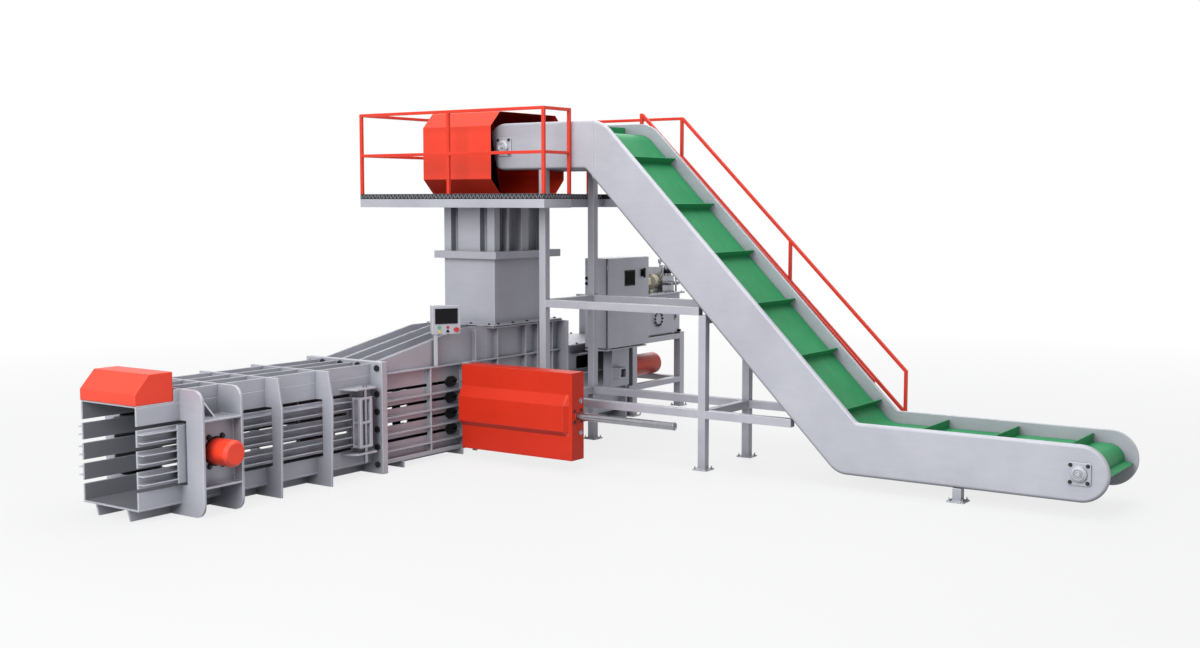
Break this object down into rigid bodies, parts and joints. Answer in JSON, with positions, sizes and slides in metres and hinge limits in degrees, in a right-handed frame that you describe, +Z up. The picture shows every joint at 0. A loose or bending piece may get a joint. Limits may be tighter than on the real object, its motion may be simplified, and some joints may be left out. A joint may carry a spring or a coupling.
{
  "type": "recycling baler",
  "caption": "Horizontal channel baling press with wire tying unit, squeeze walls, hopper, service platform with stair, and an inclined cleated belt conveyor.",
  "frame": {"origin": "middle of the machine's footprint, at floor level", "axes": "+X from the bale outlet to the main cylinder, +Y away from the conveyor's infeed, +Z up"},
  "size_m": [10.632, 10.1216, 4.54],
  "materials": {
    "grey_paint": "satin paint",
    "orange_paint": "gloss paint",
    "rail_paint": "gloss paint",
    "bare_steel": "turned",
    "bearing_paint": "satin paint",
    "black_steel": "blackened",
    "deck_black": "tread plate",
    "belt_rubber": "smooth",
    "motor_paint": "satin paint",
    "screen_glass": "gloss",
    "green_plastic": "gloss",
    "yellow_plastic": "gloss",
    "red_plastic": "gloss",
    "black_plastic": "matte"
  },
  "bodies": {
    "frame": {"channel_floor": "grey_paint", "channel_roof": "grey_paint", "channel_walls": "grey_paint", "channel_ribs": "grey_paint", "yoke_frame": "grey_paint", "bolted_flanges": "grey_paint", "press_wall_near": "grey_paint", "press_wall_far": "grey_paint", "press_floor": "grey_paint", "press_roof": "grey_paint", "hopper_base": "grey_paint", "hopper_lower": "grey_paint", "hopper_upper": "grey_paint", "rear_chamber": "grey_paint", "rear_cover": "grey_paint", "platform_frame": "grey_paint", "stair": "grey_paint", "support_posts": "grey_paint", "support_beams": "grey_paint", "conveyor_wall_front": "grey_paint", "conveyor_wall_back": "grey_paint", "conveyor_pan": "grey_paint", "power_stand": "grey_paint", "oil_tank": "grey_paint", "control_cabinet": "grey_paint", "operator_panel": "grey_paint", "discharge_hood": "orange_paint", "squeeze_cylinders": "orange_paint", "main_cylinder": "orange_paint", "tying_cover": "orange_paint", "head_hood": "orange_paint", "guard_rails": "rail_paint", "stair_handrails": "rail_paint", "hinge_shafts": "bare_steel", "conveyor_bearings": "bearing_paint", "flange_bolts": "black_steel", "wire_guides": "black_steel", "valve_block": "black_steel", "platform_deck": "deck_black", "conveyor_belt": "belt_rubber", "pump_motor": "motor_paint", "drive_motor": "motor_paint", "operator_screen": "screen_glass"},
    "squeeze_wall_near": {"squeeze_wall_near": "grey_paint"},
    "squeeze_wall_far": {"squeeze_wall_far": "grey_paint"},
    "squeeze_ram_near": {"squeeze_ram_near": "bare_steel"},
    "squeeze_ram_far": {"squeeze_ram_far": "bare_steel"},
    "main_ram": {"main_ram": "grey_paint", "piston_rod": "bare_steel"},
    "needle_carriage": {"needle_carriage": "bare_steel"},
    "head_pulley": {"head_pulley": "bare_steel"},
    "tail_pulley": {"tail_pulley": "bare_steel"},
    "cabinet_door": {"cabinet_door": "grey_paint"},
    "isolator_knob": {"isolator_knob": "black_plastic"},
    "green_button": {"green_button": "green_plastic"},
    "yellow_button": {"yellow_button": "yellow_plastic"},
    "red_button": {"red_button": "red_plastic"},
    "black_button": {"black_button": "black_plastic"},
    "emergency_stop": {"emergency_stop": "red_plastic"}
  },
  "joints": [
    {"name": "squeeze_near", "type": "hinge", "parent": "frame", "child": "squeeze_wall_near", "pos_m": [-2.104, 3.01075, 0.677], "axis": [0, 0, -1], "range_deg": [0, 1.2]},
    {"name": "squeeze_far", "type": "hinge", "parent": "frame", "child": "squeeze_wall_far", "pos_m": [-2.104, 4.19075, 0.677], "axis": [0, 0, 1], "range_deg": [0, 1.2]},
    {"name": "ram_near", "type": "slide", "parent": "frame", "child": "squeeze_ram_near", "axis": [0, 1, 0], "range_m": [0, 0.05]},
    {"name": "ram_far", "type": "slide", "parent": "frame", "child": "squeeze_ram_far", "axis": [0, -1, 0], "range_m": [0, 0.05]},
    {"name": "main_ram_stroke", "type": "slide", "parent": "frame", "child": "main_ram", "axis": [-1, 0, 0], "range_m": [0, 1.45]},
    {"name": "needle_stroke", "type": "slide", "parent": "frame", "child": "needle_carriage", "axis": [0, 1, 0], "range_m": [0, 1.1]},
    {"name": "head_pulley_spin", "type": "hinge", "parent": "frame", "child": "head_pulley", "pos_m": [1.166, 2.97075, 4.06], "axis": [1, 0, 0], "continuous": true},
    {"name": "tail_pulley_spin", "type": "hinge", "parent": "frame", "child": "tail_pulley", "pos_m": [1.166, -4.74825, 0.4695], "axis": [1, 0, 0], "continuous": true},
    {"name": "door_hinge", "type": "hinge", "parent": "frame", "child": "cabinet_door", "pos_m": [2.394, 2.52045, 1.853], "axis": [0, 0, -1], "range_deg": [0, 110]},
    {"name": "isolator_turn", "type": "hinge", "parent": "cabinet_door", "child": "isolator_knob", "pos_m": [3.279, 2.51075, 2.268], "axis": [0, -1, 0], "range_deg": [-90, 0]},
    {"name": "green_press", "type": "slide", "parent": "frame", "child": "green_button", "axis": [0.5344, 0.8453, 0], "range_m": [0, 0.004], "stiffness_N_per_m": 600, "springref_m": -0.001},
    {"name": "yellow_press", "type": "slide", "parent": "frame", "child": "yellow_button", "axis": [0.5344, 0.8453, 0], "range_m": [0, 0.004], "stiffness_N_per_m": 600, "springref_m": -0.001},
    {"name": "red_press", "type": "slide", "parent": "frame", "child": "red_button", "axis": [0.5344, 0.8453, 0], "range_m": [0, 0.004], "stiffness_N_per_m": 600, "springref_m": -0.001},
    {"name": "black_press", "type": "slide", "parent": "frame", "child": "black_button", "axis": [0.5344, 0.8453, 0], "range_m": [0, 0.004], "stiffness_N_per_m": 600, "springref_m": -0.001},
    {"name": "emergency_stop_press", "type": "slide", "parent": "frame", "child": "emergency_stop", "axis": [0.5344, 0.8453, 0], "range_m": [0, 0.006], "stiffness_N_per_m": 900, "springref_m": -0.001}
  ],
  "couplings": [
    {"joint": "squeeze_far", "follows": "squeeze_near", "ratio": 1},
    {"joint": "ram_near", "follows": "squeeze_near", "m_per_rad": 2.375},
    {"joint": "ram_far", "follows": "squeeze_near", "m_per_rad": 2.375},
    {"joint": "tail_pulley_spin", "follows": "head_pulley_spin", "ratio": 1}
  ]
}
